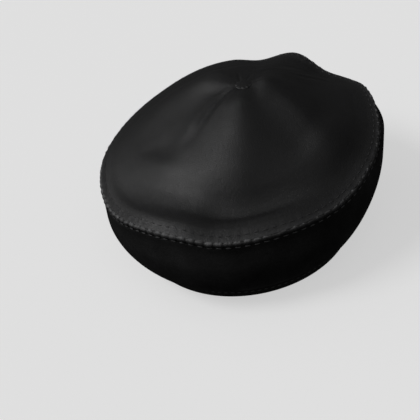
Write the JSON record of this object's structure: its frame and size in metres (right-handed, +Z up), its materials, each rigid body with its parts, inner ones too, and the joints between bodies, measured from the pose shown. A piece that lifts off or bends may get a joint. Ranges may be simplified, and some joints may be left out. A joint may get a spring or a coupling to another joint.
{
  "type": "leather beret",
  "caption": "Soft round black leather beret with a puffed, folded crown, a top button, a rolled edge welt, a deep side and a narrow head band, resting on its open head opening.",
  "frame": {"origin": "on the surface under the hat, below the middle of its bounding box", "axes": "+Z up along the head opening's axis, +Y towards the back of the hat, +X towards its right side as seen from the front"},
  "size_m": [0.2526, 0.2628, 0.1266],
  "materials": {
    "crown_leather": "smooth black garment leather with a soft satin sheen and fine grain",
    "welt_leather": "black leather rolled over a cord, rubbed a little lighter and glossier along its top",
    "side_leather": "smooth black garment leather, a little duller than the crown",
    "band_leather": "smooth black leather strip with one row of stitches",
    "thread": "dark grey twisted sewing thread, a little lighter than the leather"
  },
  "bodies": {
    "root": {"crown_panel": "crown_leather", "crown_button": "crown_leather", "edge_welt": "welt_leather", "underside_panel": "side_leather", "head_band": "band_leather"}
  },
  "joints": []
}
